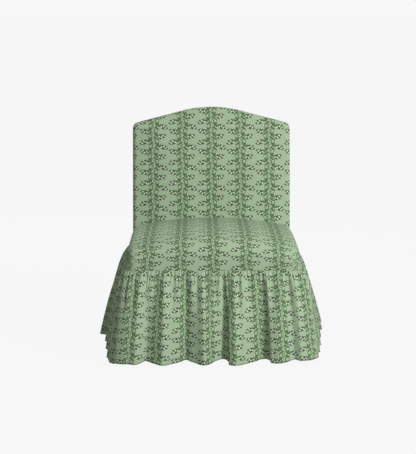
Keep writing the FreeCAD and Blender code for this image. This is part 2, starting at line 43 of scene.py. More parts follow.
class Wire:
    """An output socket that reads like a number in an expression."""

    def __init__(self, tree, socket=None):
        self.tree = tree
        self.socket = socket

    def node(self, kind, settings=None, values=None, out=0):
        """Any node: its type, its settings, its sockets' values or links, and which output."""
        made = self.tree.nodes.new("ShaderNode" + kind)
        for name, value in (settings or {}).items():
            setattr(made, name, value)
        for name, value in (values or {}).items():
            if isinstance(value, Wire):
                self.tree.links.new(value.socket, made.inputs[name])
            else:
                made.inputs[name].default_value = value
        return Wire(self.tree, made.outputs[out] if made.outputs else None)

    def maths(self, operation, *others):
        return self.node("Math", {"operation": operation}, dict(enumerate((self,) + others)))

    def __add__(self, other):
        return self.maths("ADD", other)

    def __sub__(self, other):
        return self.maths("SUBTRACT", other)

    def __mul__(self, other):
        return self.maths("MULTIPLY", other)

    def __truediv__(self, other):
        return self.maths("DIVIDE", other)

    def __pow__(self, other):
        return self.maths("POWER", other)

    def __rsub__(self, other):
        return self.node("Math", {"operation": "SUBTRACT"}, {0: other, 1: self})

    def __abs__(self):
        return self.maths("ABSOLUTE")

    __radd__ = __add__
    __rmul__ = __mul__

    def sine(self):
        return self.maths("SINE")

    def smooth(self, low, high):
        """0 up to low, 1 from high, and smooth between them; high may be the lower one."""
        if low > high:
            return 1.0 - self.smooth(high, low)
        values = {0: self, 1: low, 2: high, 3: 0.0, 4: 1.0}
        return self.node("MapRange", {"interpolation_type": "SMOOTHSTEP"}, values)

    def colour(self, first, second):
        """The first colour where this is 0, the second where it is 1."""
        return self.node("Mix", {"data_type": "RGBA"}, {0: self, 6: first, 7: second}, 2)

    def parts(self):
        made = self.node("SeparateXYZ", None, {0: self}).socket.node
        return [Wire(self.tree, made.outputs[axis]) for axis in range(3)]


def material(name, plain, looks):
    """One Principled shader: plain values, and the linked sockets that looks() returns."""
    made = bpy.data.materials.new(name)
    made.use_nodes = True
    made.node_tree.nodes.clear()
    start = Wire(made.node_tree)
    values = dict(plain)
    values.update(looks(start))
    shader = start.node("BsdfPrincipled", None, values)
    start.node("OutputMaterial", None, {"Surface": shader})
    return made


def bumped(start, height, distance):
    return start.node("Bump", None, {"Height": height, "Distance": distance, "Strength": 1.0})


def place(start):
    return start.node("TexCoord", None, None, 3)


beech = (0.50, 0.33, 0.18, 1)
beech_dark = (0.33, 0.20, 0.10, 1)
walnut_stain = (0.105, 0.052, 0.026, 1)
raw_above = 0.236
stained_below = 0.232
run = 0.25
cross = 3.0


def wood(name, light, dark, stain, grain):
    """Straight-grained wood; grain scales x, y and z so that the fibres run along one axis."""
    def looks(start):
        along = start.node("Mapping", None, {0: place(start), 3: grain})
        warp = start.node("TexNoise", None, {0: along, "Scale": 6.0, "Detail": 3.0})
        fibre = start.node("TexNoise", None, {0: along, "Scale": 160.0, "Detail": 4.0})
        rings = ((warp * 38.0).sine() * 0.5 + 0.5) ** 1.6
        tone = rings * 0.55 + fibre * 0.45
        raw = tone.colour(light, dark)
        height = place(start).parts()[2]
        foot = height.smooth(raw_above, stained_below)
        stained = tone.colour(stain, tuple(c * 0.55 for c in stain[:3]) + (1,))
        return {
            "Base Color": foot.colour(raw, stained),
            "Roughness": 0.62 - foot * 0.24 + fibre * 0.08,
            "Normal": bumped(start, fibre * 0.6 + rings * 0.4, 0.0004),
        }
    return material(name, {"Specular IOR Level": 0.4}, looks)


wood_across = wood("beech_across", beech, beech_dark, walnut_stain, (run, cross, cross))
wood_deep = wood("beech_front_to_rear", beech, beech_dark, walnut_stain, (cross, run, cross))
wood_up = wood("beech_upright", beech, beech_dark, walnut_stain, (cross, cross, run))


def dress(finish, *nodes):
    """A CAD node that keeps its shape gets its finish."""
    for node in nodes:
        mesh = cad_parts[node].data
        mesh.materials.clear()
        mesh.materials.append(finish)


dress(wood_across, "front_seat_rail", "rear_seat_rail", "crest_rail", "lower_back_rail")
dress(wood_across, "front_corner_blocks", "rear_corner_blocks")
dress(wood_deep, "left_seat_rail", "right_seat_rail")
dress(wood_up, "left_back_upright", "right_back_upright", "front_left_leg", "front_right_leg")

# Hardware: zinc-plated hanger bolts with hexagon nuts in the front legs, and nickel-plated
# glides tapped into the four feet. The plating is fine grained, the glides are scuffed.


def plated(name, colour, scuff):
    def looks(start):
        speckle = start.node("TexNoise", None, {0: place(start), "Scale": 900.0, "Detail": 2.0})
        streak = start.node("TexNoise", None, {0: place(start), "Scale": 120.0, "Detail": 5.0})
        worn = streak.smooth(0.5, 0.72)
        dull = tuple(c * 0.72 for c in colour[:3]) + (1,)
        return {
            "Base Color": (worn * scuff).colour(colour, dull),
            "Roughness": 0.26 + speckle * 0.12 + worn * (0.3 * scuff),
            "Normal": bumped(start, speckle, 0.00006),
        }
    return material(name, {"Metallic": 1.0}, looks)


dress(plated("zinc_plate", (0.62, 0.63, 0.62, 1), 0.5), "leg_bolts", "leg_nuts")
dress(plated("nickel_plate", (0.66, 0.64, 0.60, 1), 1.0), "leg_glides")

# Seat support: five jute straps each way, woven over and under, tacked on the rails, and a
# hessian deck cloth on them. The elastic bands of the back are ribbed black webbing.


stripe_pitch = 0.0125


def woven(name, light, dark, thread, depth, stripe=None):
    """A plain weave: warp and weft bumps of one thread size, and a coloured edge stripe."""
    def looks(start):
        x, y, z = place(start).parts()
        warp = ((x + z) * (math.pi / thread)).sine()
        weft = ((y + z) * (math.pi / thread)).sine()
        weave = abs(warp * weft)
        slub = start.node("TexNoise", None, {0: place(start), "Scale": 240.0, "Detail": 3.0})
        tone = weave * 0.5 + slub * 0.5
        base = tone.colour(dark, light)
        if stripe:
            lane = abs(((x + y) * (1 / stripe_pitch)).maths("FRACT") - 0.5).smooth(0.06, 0.04)
            base = (lane * 0.7).colour(base, stripe)
        return {
            "Base Color": base,
            "Roughness": 0.95 - tone * 0.1,
            "Normal": bumped(start, tone, depth),
        }
    return material(name, {"Sheen Weight": 0.1}, looks)


jute_light = (0.42, 0.31, 0.18, 1)
jute_dark = (0.2, 0.13, 0.07, 1)
jute_stripe = (0.3, 0.1, 0.05, 1)
jute = woven("jute", jute_light, jute_dark, 0.0022, 0.0006, jute_stripe)
hessian = woven("hessian", (0.5, 0.38, 0.23, 1), (0.24, 0.17, 0.09, 1), 0.0028, 0.0006)
elastic = woven("elastic", (0.05, 0.05, 0.055, 1), (0.012, 0.012, 0.014, 1), 0.0018, 0.0005)
dress(jute, "lengthwise_seat_webbing", "crosswise_seat_webbing")
dress(hessian, "seat_deck_cloth")
dress(elastic, "back_webbing")

# Fillings: cream polyurethane foam on the seat and the back, white fibre wadding over the
# frame's edges, and a pressed board behind. All of them are sealed under the covers.


def cellular(name, light, dark, cell, depth, rough):
    """Pores or fibre tufts of one cell size, sunk by depth, with a cloudy tone."""
    def looks(start):
        cells = start.node("TexVoronoi", None, {0: place(start), "Scale": 1.0 / cell})
        cloud = start.node("TexNoise", None, {0: place(start), "Scale": 14.0, "Detail": 4.0})
        pore = cells.smooth(0.1, 0.6)
        return {
            "Base Color": (pore * 0.6 + cloud * 0.4).colour(dark, light),
            "Roughness": rough + cloud * 0.05,
            "Normal": bumped(start, pore, depth),
        }
    return material(name, {}, looks)


foam = cellular("foam", (0.8, 0.74, 0.55, 1), (0.6, 0.52, 0.34, 1), 0.0025, 0.0008, 0.9)
wadding = cellular("wadding", (0.86, 0.85, 0.82, 1), (0.66, 0.65, 0.62, 1), 0.006, 0.0015, 0.94)
board = cellular("pressed_board", (0.3, 0.21, 0.13, 1), (0.18, 0.12, 0.07, 1), 0.0012, 0.0003, 0.7)
dress(foam, "seat_foam", "back_foam")
dress(wadding, "back_border_padding")
dress(board, "back_board")

# Dust cover: thin black spun cloth stapled under the rails, cut out round the legs, with the
# little pressed dimples of its bonding.
spun_black = (0.006, 0.006, 0.007, 1)
spun_grey = (0.03, 0.03, 0.033, 1)
dimple_scale = 900.0


def spun_looks(start):
    x, y, _ = place(start).parts()
    dimple = abs(((x + y) * dimple_scale).sine() * ((x - y) * dimple_scale).sine())
    fuzz = start.node("TexNoise", None, {0: place(start), "Scale": 400.0, "Detail": 3.0})
    return {
        "Base Color": (fuzz * 0.6 + dimple * 0.4).colour(spun_black, spun_grey),
        "Roughness": 0.82 + fuzz * 0.12,
        "Normal": bumped(start, dimple, 0.0003),
    }


dress(material("spun_cloth", {}, spun_looks), "dust_cover")

# Printed cloth of all the covers: a sage cotton and linen weave with a climbing stripe of thin
# stems, clusters of dark veined leaves and twigs of cream berries, in turn to either side. The
# print is laid out in millimetres of flat cloth, so that it follows every fold.
sage = (0.375, 0.507, 0.325, 1)
stem_green = (0.15, 0.26, 0.12, 1)
leaf_green = (0.036, 0.098, 0.028, 1)
vein_green = (0.20, 0.33, 0.15, 1)
shade_green = (0.017, 0.044, 0.012, 1)
berry_cream = (0.86, 0.88, 0.74, 1)
bare_thread = (0.5, 0.56, 0.42, 1)
mm_per_metre = 1000.0
stem_spacing = 110.0
sprig_pitch = 38.75
stem_sway = 2.5
stem_edge = (1.7, 0.9)
twig_slope = 0.16
twig_drop = 5.0
twig_shift = 5.0
twig_back = 2.0
twig_edge = (1.1, 0.5)
twig_start = (10.0, 12.0)
twig_end = (48.0, 45.0)
leaf_rim = (1.12, 0.88)
berry_radius = 2.6
berry_shade = 4.2
stem_reach = 25
stem_berry_size = 0.65
thread = 0.55
# Leaves as place out from the stem and up it, angle, half length and half width; berries as
# place out and up. The first group sits by the stem, the second on the twigs.
cluster = [
    (12.5, 9.5, 46, 10.0, 5.4), (20.5, 2.5, 8, 8.5, 4.0), (8.5, -4.5, -24, 7.5, 4.0),
    (15.5, -9.5, -20, 8.0, 3.6), (6.0, 15.5, 72, 6.5, 2.8), (6.0, -14.0, -66, 6.0, 2.6),
]
twig_leaves = [
    (30.0, 5.4, 28, 6.5, 3.0), (34.5, -6.4, -32, 6.5, 3.0),
    (43.0, 5.0, 30, 5.5, 2.6), (48.5, -3.0, -10, 6.0, 2.6),
]
berries = [(27.5, -3.0), (36.5, 1.6), (44.0, -4.0), (22.0, 10.5), (5.5, 3.5), (16.5, -15.5)]


def printed_looks(start):
    cloth = start.node("UVMap", {"uv_map": "cloth"})
    u, v, _ = cloth.parts()
    u = u * mm_per_metre
    v = v * mm_per_metre
    column = (u / stem_spacing + 0.5).maths("FLOOR")
    sway = (v * (math.pi / sprig_pitch)).sine() * stem_sway
    across = u - column * stem_spacing - sway
    side = across.maths("SIGN")
    out = abs(across)
    rise = v + side * (sprig_pitch / 4)
    row = (rise / sprig_pitch).maths("FLOOR")
    up = rise - row * sprig_pitch - sprig_pitch / 2
    odd = abs(row * 0.5 - (row * 0.5).maths("FLOOR")) * 2.0
    tilt = up * (1.0 - odd * 2.0) + out * twig_slope - twig_drop
    by_stem = (out, up)
    by_twig = (out + odd * twig_shift - twig_back, tilt)

    def leaf(origin, x, y, angle, length, width):
        """A pointed leaf: its mask, and its own coordinates along and across."""
        c = math.cos(math.radians(angle))
        s = math.sin(math.radians(angle))
        dx = origin[0] - x
        dy = origin[1] - y
        along = dx * c + dy * s
        beside = abs(dy * c - dx * s)
        reach = along / length
        return (beside / width + reach * reach).smooth(*leaf_rim), along, beside

    def berry(origin, x, y, radius):
        """A round berry's mask, soft at its rim."""
        dx = origin[0] - x
        dy = origin[1] - y
        return (dx * dx + dy * dy).smooth(1.25 * radius**2, 0.7 * radius**2)

    drift = start.node("TexNoise", None, {0: cloth, "Scale": 9.0, "Detail": 3.0})
    ground = (drift * 0.5).colour(sage, tuple(c * 0.86 for c in sage[:3]) + (1,))
    stem = out.smooth(*stem_edge)
    ground = (stem * 0.75).colour(ground, stem_green)
    twig = abs(tilt).smooth(*twig_edge) * out.smooth(*twig_start) * out.smooth(*twig_end)
    ground = (twig * 0.8).colour(ground, stem_green)
    for x, y, angle, length, width in cluster:
        blade, along, beside = leaf(by_stem, x, y, angle, length, width)
        hatch = ((along - beside * 0.9) * 2.2).sine().smooth(0.1, 0.9)
        veins = (hatch * 0.34).maths("MAXIMUM", beside.smooth(0.7, 0.3) * 0.6)
        ground = blade.colour(ground, veins.colour(leaf_green, vein_green))
    for x, y, angle, length, width in twig_leaves:
        blade, _, _ = leaf(by_twig, x, y, angle, length, width)
        ground = blade.colour(ground, shade_green)
    for x, y in berries:
        origin, size = (by_stem, stem_berry_size) if x < stem_reach else (by_twig, 1.0)
        shadow = berry(origin, x + 1.2, y - 1.0, berry_shade * size)
        ground = shadow.colour(ground, shade_green)
        ground = berry(origin, x - 0.5, y + 0.6, berry_radius * size).colour(ground, berry_cream)

    warp = (u * (2 * math.pi / thread)).sine()
    weft = (v * (2 * math.pi / thread)).sine()
    slub = start.node("TexNoise", None, {0: cloth, "Scale": 700.0, "Detail": 2.0})
    weave = warp * weft * 0.5 + slub
    return {
        "Base Color": (weave.smooth(0.1, 0.9) * 0.13).colour(ground, bare_thread),
        "Roughness": 0.9 - slub * 0.1,
        "Normal": bumped(start, weave, 0.00025),
    }


printed = material("printed_cloth", {"Specular IOR Level": 0.15}, printed_looks)

# Seat cover: one width of the print pulled over the crowned foam and down to the skirt's seam.
# The front edge is rolled, the sides draw in upwards, and the fullness of each front corner is
# folded away in a blind pleat.
seam = 0.327
lowest = 0.319
body_front = -0.348945
body_depth = 0.66389
front_half = 0.316
rear_half = 0.300
rear_taper = 0.016
seat_depth = 0.56
seat_depth_level = 0.45
crown_r = 1.3
crown_y = body_front + 0.285
crown_z = 0.466
side_lean = math.radians(9)
front_roll = 0.062
side_roll = 0.036
cover_gap = 0.0009
halvings = 40
rake = math.radians(8)
back_half = 0.2985
back_thickness = 0.12
border_depth = 0.088
border_roll = 0.018
back_crown = 0.014
back_crown_reach = 0.172


def rear_face_y(z):
    """The rear face of the raked back at a height."""
    front_face = body_front + seat_depth + (z - seat_depth_level) * math.tan(rake)
    return front_face + back_thickness / math.cos(rake)


def back_depth(inset):
    """How far the back stands forward of its rear face, by the distance in from its edge."""
    inset = np.maximum(inset, 0.0)
    to_face = border_roll - np.minimum(inset, border_roll)
    edge = np.sqrt(np.maximum(border_roll**2 - to_face**2, 0.0))
    share = np.clip((inset - border_roll) / back_crown_reach, 0.0, 1.0)
    return border_depth + edge + back_crown * (1 - (1 - share) ** 2)


def seat_end(x, z):
    """Where the seat meets the crowned face of the back."""
    return rear_face_y(z) - back_depth(back_half - np.abs(x)) / math.cos(rake) - cover_gap


def cloth_mesh(name, points, flat, finish):
    """A mesh of quads over a grid of points, with the flat cloth's place as its UV."""
    rows, columns = points.shape[:2]
    index = np.arange(rows * columns).reshape(rows, columns)
    quads = np.stack([index[:-1, :-1], index[:-1, 1:], index[1:, 1:], index[1:, :-1]], -1)
    quads = quads.reshape(-1, 4)
    mesh = bpy.data.meshes.new(name)
    mesh.from_pydata(points.reshape(-1, 3).tolist(), [], quads.tolist())
    layer = mesh.uv_layers.new(name="cloth")
    layer.data.foreach_set("uv", flat.reshape(-1, 2)[quads.ravel()].ravel())
    mesh.materials.append(finish)
    mesh.polygons.foreach_set("use_smooth", [True] * len(quads))
    mesh.update()
    piece = bpy.data.objects.new(name, mesh)
    bpy.context.scene.collection.objects.link(piece)
    return piece


def edge_profile(wall, lean, radius, crown_top, crown_middle, share):
    """Place and height of the cloth at a share of its way round the roll and down to its edge.

    wall is the wall's place at the seam's height, crown_top the crown's highest point in the
    plane of the section and crown_middle that point's place."""
    def roll_centre(z):
        return wall - (z - seam) * math.tan(lean) - radius / math.cos(lean)

    low = np.full_like(crown_top, lowest)
    high = crown_top
    for _ in range(halvings):
        z = (low + high) / 2
        reach = (roll_centre(z) - crown_middle) ** 2 + (z - crown_top + crown_r) ** 2
        outside = reach > (crown_r - radius) ** 2
        high = np.where(outside, z, high)
        low = np.where(outside, low, z)
    z = (low + high) / 2
    x = roll_centre(z)
    start = np.arctan2(z - crown_top + crown_r, x - crown_middle)
    turn = start - lean
    length = turn * radius + (z + radius * math.sin(lean) - lowest) / math.cos(lean)
    distance = share * length
    angle = start - np.minimum(distance / radius, turn)
    down = np.maximum(distance - turn * radius, 0.0)
    out = x + radius * np.cos(angle) + down * math.sin(lean)
    return out, z + radius * np.sin(angle) - down * math.cos(lean)


def side_at(y, share):
    """Width and height of the side wall at a depth, by the share of its cloth."""
    top = crown_z - (y - crown_y) ** 2 / (2 * crown_r)
    wall = front_half - rear_taper * (y - body_front) / body_depth
    return edge_profile(wall, side_lean, side_roll, top, 0.0 * y, share)


def front_at(x, share):
    """Depth and height of the front wall at a width, by the share of its cloth."""
    top = crown_z - x**2 / (2 * crown_r)
    wall = np.full_like(x, -body_front)
    y, z = edge_profile(wall, 0.0, front_roll, top, np.full_like(x, -crown_y), share)
    return -y, z


def portion(part, whole):
    """The part's share of the whole, and 0 where there is no whole."""
    return np.divide(part, whole, out=np.zeros_like(whole), where=whole > 0)


side_flap = 0.150
front_flap = 0.176
top_half = 0.262
top_front = body_front + front_roll
top_rear = 0.208
columns_top = 72
columns_flap = 30
rows_top = 84
rows_flap = 34
corner_least = 0.004
corner_growth = 0.032
corner_full_at = 0.5

# The flat cloth as a grid, each point's share of the way down a flap, and its turn round a corner
flap_side = np.linspace(side_flap, 0, columns_flap, endpoint=False)
flap_front = np.linspace(front_flap, 0, rows_flap, endpoint=False)
top_line = np.linspace(-top_half, top_half, columns_top)
across_line = np.concatenate([-top_half - flap_side, top_line, top_half + flap_side[::-1]])
along_line = np.concatenate([top_front - flap_front, np.linspace(top_front, top_rear, rows_top)])
across, along = np.meshgrid(across_line, along_line)
aside = np.clip((np.abs(across) - top_half) / side_flap, 0, 1)
ahead = np.clip((top_front - along) / front_flap, 0, 1)
level = np.maximum(aside, ahead)
bend = np.where(aside >= ahead, portion(ahead, aside) / 2, 1 - portion(aside, ahead) / 2)
theta = np.where(level == 0, 0.0, bend) * math.pi / 2
top_share = np.clip((along - top_front) / (top_rear - top_front), 0, 1)

# The grid laid over the foam; its rear edge follows the crowned face of the back
side_x, side_z = side_at(np.maximum(along, top_front), level)
front_y, _ = front_at(np.clip(np.abs(across), 0, top_half), level)
opened = np.sin(np.clip(level / corner_full_at, 0, 1) * math.pi / 2)
corner_r = corner_least + corner_growth * opened
corner_x = side_x - corner_r
corner_y = front_y + corner_r
end_y = seat_end(side_x, side_z)
for _ in range(3):
    off_middle = (end_y - crown_y) ** 2 + np.minimum(np.abs(across), side_x) ** 2
    end_x = np.where(aside > 0, side_x, across * corner_x / top_half)
    end_y = seat_end(end_x, np.where(aside > 0, side_z, crown_z - off_middle / (2 * crown_r)))
y_row = corner_y + (end_y - corner_y) * top_share
side_x, side_z = side_at(y_row, level)
corner_x = side_x - corner_r
x_column = np.clip(np.abs(across) / top_half, 0, 1) * corner_x
_, front_z = front_at(x_column, level)
seat_x = np.where(aside > 0, corner_x + corner_r * np.cos(theta), x_column) * np.sign(across)
seat_y = np.where(ahead > 0, corner_y - corner_r * np.sin(theta), y_row)
crown = crown_z - (x_column**2 + (y_row - crown_y) ** 2) / (2 * crown_r)
seat_z = np.where(ahead > 0, front_z, np.where(aside > 0, side_z, crown))
mix = np.sin(theta) ** 2
seat_z = np.where((aside > 0) & (ahead > 0), side_z * (1 - mix) + front_z * mix, seat_z)
seat_points = np.stack([seat_x, seat_y, np.maximum(seat_z, lowest)], -1)
seat = cloth_mesh("seat_cover_cloth", seat_points, np.stack([across, along], -1), printed)
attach(seat, "root")
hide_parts("seat_cover")

# Inside back cover: one width of the print over the crowned back foam, wrapped over the arch
# and round both sides to the rear edges. It is pulled tight, with small tucks at the
# shoulders, and is hidden behind the seat below the deck.
crest = 0.849
arch_r = 0.43
arch_slope = math.radians(14.5)
shoulder_r = 0.026
back_bottom = 0.31
edge_columns = 420
top_columns = slice(130, 290)
tuck_x = 0.275
tuck_z = 0.797
tuck_reach = 0.024
tuck_pitch = 0.0042
tuck_depth = 0.0009
tuck_fade = 0.03
stitch_inset = 0.0012
stitch_fade = 0.0025
roll_spare = 0.0102
least_gap = 1e-4
pull_depth = 0.0010
pull_waves = (41, 23)
pull_fade = 0.08
wrap_rings = 16
roll_rings = 10
face_rings = 70
middle_scale = 0.02
print_shift = 0.012


def back_edge(count):
    """The back's outline up the left side, over the shoulders and the arch, and down."""
    flank_x = arch_r * math.sin(arch_slope)
    flank_z = crest - arch_r * (1 - math.cos(arch_slope))
    round_x = back_half - shoulder_r
    drop = (shoulder_r + (round_x - flank_x) * math.sin(arch_slope)) / math.cos(arch_slope)
    round_z = flank_z - drop
    end = math.pi / 2 - arch_slope
    flank_points, round_points, slope_points, arch_points = 60, 16, 24, 18
    half = [(back_half, h) for h in np.linspace(back_bottom, round_z, flank_points)]
    for turn in np.linspace(0, end, round_points)[1:]:
        half.append((round_x + shoulder_r * math.cos(turn), round_z + shoulder_r * math.sin(turn)))
    x, z = half[-1]
    for share in np.linspace(0, 1, slope_points)[1:]:
        half.append((x + (flank_x - x) * share, z + (flank_z - z) * share))
    for turn in np.linspace(end, math.pi / 2, arch_points)[1:]:
        half.append((arch_r * math.cos(turn), crest - arch_r + arch_r * math.sin(turn)))
    left = [(-x, h) for x, h in half]
    line = np.array(left + half[-2::-1])
    along = np.concatenate([[0], np.cumsum(np.hypot(*np.diff(line, axis=0).T))])
    even = np.linspace(0, along[-1], count)
    line = np.stack([np.interp(even, along, line[:, k]) for k in range(2)], -1)
    way = np.gradient(line, axis=0)
    way /= np.linalg.norm(way, axis=1, keepdims=True)
    return line, np.stack([-way[:, 1], way[:, 0]], -1)


def on_back(ring, depth):
    """A ring of the raked back's own widths and heights, at its depth, in the chair's place."""
    x, height = ring.T
    y = rear_face_y(0) - depth * math.cos(rake) + height * math.sin(rake)
    return np.stack([x, y, depth * math.sin(rake) + height * math.cos(rake)], -1)


edge_line, edge_out = back_edge(edge_columns)
to_tuck = [np.hypot(edge_line[:, 0] - x, edge_line[:, 1] - tuck_z) for x in (-tuck_x, tuck_x)]
shoulders = np.array(to_tuck).min(0)
tucks = np.exp(-((shoulders / tuck_reach) ** 2))
rings = []
flats = []
wrap_depths = np.concatenate([[0.0, 0.0008], np.linspace(0.004, border_depth, wrap_rings)])
for depth in wrap_depths:
    inset = stitch_inset * math.exp(-depth / stitch_fade)
    ripple = tuck_depth * tucks * np.sin(shoulders / tuck_pitch) * min(1.0, depth / tuck_fade)
    ring = edge_line - edge_out * (inset + ripple)[:, None]
    rings.append(on_back(ring, depth))
    flats.append(edge_line + edge_out * (roll_spare + border_depth - depth))
for turn in np.linspace(0, math.pi / 2, roll_rings)[1:]:
    ring = edge_line - edge_out * (border_roll * (1 - math.cos(turn)))
    rings.append(on_back(ring, border_depth + border_roll * math.sin(turn)))
    flats.append(edge_line - edge_out * (border_roll - border_roll * (math.pi / 2 - turn)))
inner_line = edge_line - edge_out * border_roll
inner_line[:, 1] = np.maximum(inner_line[:, 1], back_bottom)
foot = np.array([0.0, back_bottom])
for scale in np.linspace(1, middle_scale, face_rings)[1:]:
    ring = foot + (inner_line - foot) * scale
    side_gap = np.maximum(back_half - np.abs(ring[:, 0]), least_gap)
    top_gap = np.interp(ring[:, 0], *edge_line[top_columns].T) - ring[:, 1]
    gap = (side_gap**-4 + np.maximum(top_gap, least_gap) ** -4) ** -0.25
    pull = pull_depth * np.sin(ring[:, 0] * pull_waves[0] + 1.3)
    pull *= np.sin(ring[:, 1] * pull_waves[1])
    pull *= np.clip(gap / pull_fade, 0, 1)
    rings.append(on_back(ring, back_depth(gap) + pull))
    flats.append(ring)
back_points = np.stack(rings)
back_points[..., 2] = np.maximum(back_points[..., 2], lowest)
back_flat = np.stack(flats) + np.array([0, print_shift])
inside_back = cloth_mesh("inside_back_cloth", back_points, back_flat, printed)
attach(inside_back, "root")
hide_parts("inside_back_cover")

# Outside back cover: a flat panel of the same print, turned in and slip-stitched to the wrapped
# cover round its edge, with a small roll where it turns.
panel_slack = 0.0015
panel_rings = 50
turned_edge = (
    (0.0012, 0.004), (0.0014, 0.0022), (0.0022, 0.0006), (0.0036, -0.0006), (0.006, -0.0012),
)
rings = []
flats = []
for inset, depth in turned_edge:
    ring = edge_line - edge_out * inset
    rings.append(on_back(ring, depth))
    flats.append(ring)
panel_inset, panel_depth = turned_edge[-1]
outer_line = edge_line - edge_out * panel_inset
for scale in np.linspace(1, middle_scale, panel_rings)[1:]:
    ring = foot + (outer_line - foot) * scale
    slack = panel_slack * (1 - scale) * np.sin(np.clip(ring[:, 1] / crest, 0, 1) * math.pi)
    rings.append(on_back(ring, panel_depth - slack))
    flats.append(ring)
panel_points = np.stack(rings)[:, ::-1]
panel_points[..., 2] = np.maximum(panel_points[..., 2], lowest)
panel_flat = (np.stack(flats) * np.array([-1, 1]))[:, ::-1]
outside_back = cloth_mesh("outside_back_cloth", panel_points, panel_flat, printed)
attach(outside_back, "root")
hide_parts("outside_back_cover")

# Skirt: four straight widths of the print, gathered on a tape at the seam and hemmed, that flare
# out from the seat in deep uneven folds. Each width lists its half folds from corner to corner at
# the hem, in millimetres: how wide, how far the far end stands out, and how the side leans.
skirt_top = 0.330
skirt_drop = 0.345
skirt_stand = 0.0046
cloth_thickness = 0.0016
seat_end_y = 0.2245
turned_top = ((0.0023, 0.0010), (0.0032, 0.0012))
turned_reach = 0.004
front_flare = 0.087
rear_flare = 0.121
front_side_flare = 0.044
rear_side_flare = 0.112
right_rear_more = 0.009
hem_height = 0.0115
hem_waver = 0.0015
valley_lift = 0.012
valley_from = 0.004
valley_span = 0.036
# The four corners, round from the left front: radii at the hem and the seam, and the hem's lift
hem_rounds = (0.062, 0.062, 0.04, 0.034)
seam_rounds = (0.041, 0.041, 0.013, 0.013)
corner_lifts = (0.0, 0.013, 0.005, 0.0)
corner_lift_reach = 0.13
half_round = 0.79
fold_rounding = 11
fold_gain = 1.12
skirt_columns = 330
skirt_rows = 52
curve_steps = 24
rows_crowded = 1.25
flare_curve = 0.68
fold_curve = 0.5
settling = 26
# Gathers at the seam, and the wider flutes that they run out into
gather_pitch = 0.0165
small_gather_pitch = 0.0098
small_gather_share = 0.55
gather_wander = 1.9
gather_depths = ((0.0013, 0.12), (0.0009, 0.22))
flute_pitch = 0.047
flute_depth = 0.0045
flute_place = 0.20
flute_reach = 0.2
hem_flute_depth = 0.0012
plain_end = 0.03
front_folds = [
    (36, 4, 0.0), (36, -22, 0.1), (34, -5, 0), (32, 8, 0.1), (48, -10, 0.0), (40, -30, 0.1),
    (36, -8, 0.0), (38, 12, -0.1), (34, -14, 0.1), (33, -34, 0.1), (22, 2, 0.55), (26, 10, 0.0),
    (48, -8, 0.05), (60, -34, 0.05), (26, -4, 0.5), (31, 8, 0), (38, -2, 0), (22, -12, 0),
    (26, 0, 0),
]
right_folds = [
    (38, 2, 0), (42, -30, 0.1), (28, -4, 0.3), (44, 6, 0), (36, -20, 0.1), (34, -28, 0),
    (22, 4, 0.5), (34, 10, 0), (30, -14, 0.1), (36, -26, 0), (28, 2, 0.4), (42, 10, 0),
    (32, -16, 0.1), (36, -30, 0), (24, 2, 0.5), (40, 12, 0), (30, -12, 0), (36, -30, 0),
    (24, 0, 0.4), (28, 10, 0), (34, -6, 0.1), (33, 0, 0),
]
rear_folds = [
    (40, 4, 0), (44, -30, 0.1), (27, -4, 0.4), (36, 10, 0), (25, -10, 0), (30, -26, 0),
    (26, 0, 0.4), (36, 14, 0), (31, -8, 0), (36, -26, 0), (27, 0, 0.4), (34, 12, 0),
    (30, -12, 0.1), (38, -28, 0), (32, -2, 0.3), (42, 10, 0), (30, -8, 0), (26, -18, 0),
    (35, 0, 0),
]
left_folds = [
    (40, 4, 0), (42, -30, 0), (26, -4, 0.4), (38, 4, 0), (28, -12, 0), (34, -26, 0.1),
    (27, 8, 0.4), (38, 24, 0), (27, -6, 0), (30, -26, 0), (28, -2, 0.4), (38, 8, 0),
    (32, -14, 0), (38, -28, 0.1), (26, -4, 0.4), (38, 8, 0), (30, -12, 0), (36, -26, 0),
    (26, -4, 0.4), (34, 6, 0), (38, 2, 0), (37, 0, 0),
]


def fold_line(folds, length):
    """Places along and stand-outs of a hem between its corners' rounds, in metres."""
    total = sum(width for width, _, _ in folds)
    points = [(0.0, 0.0)]
    for width, stand, lean in folds:
        here, level = points[-1]
        wide = width / total * length
        change = stand / 1000 - level
        points.append((here + wide * (0.5 + lean), level + change * 0.5))
        points.append((here + wide, stand / 1000))
    return points


def smooth_run(points, count):
    """A smooth curve through a row of points, sampled evenly by its own length."""
    p = np.array(points, float)
    p = np.vstack([2 * p[0] - p[1], p, 2 * p[-1] - p[-2]])
    fine = []
    for k in range(1, len(p) - 2):
        t = np.linspace(0, 1, curve_steps, endpoint=False)[:, None]
        a, b, c, d = p[k - 1 : k + 3]
        bend = (2 * a - 5 * b + 4 * c - d) * t**2 + (3 * b - a - 3 * c + d) * t**3
        fine.append(0.5 * (2 * b + (c - a) * t + bend))
    fine = np.vstack(fine + [p[-2:-1]])
    along = np.concatenate([[0], np.cumsum(np.hypot(*np.diff(fine, axis=0).T))])
    even = np.linspace(0, along[-1], count)
    even_line = np.stack([np.interp(even, along, fine[:, k]) for k in range(2)], -1)
    weights = np.hanning(fold_rounding + 2)[1:-1]
    weights /= weights.sum()
    reach = fold_rounding // 2
    before = 2 * even_line[0] - even_line[reach:0:-1]
    after = 2 * even_line[-1] - even_line[-2 : -2 - reach : -1]
    padded = np.vstack([before, even_line, after])
    line = np.stack([np.convolve(padded[:, k], weights, "valid") for k in range(2)], -1)
    return line * np.array([1.0, fold_gain]), along[-1]


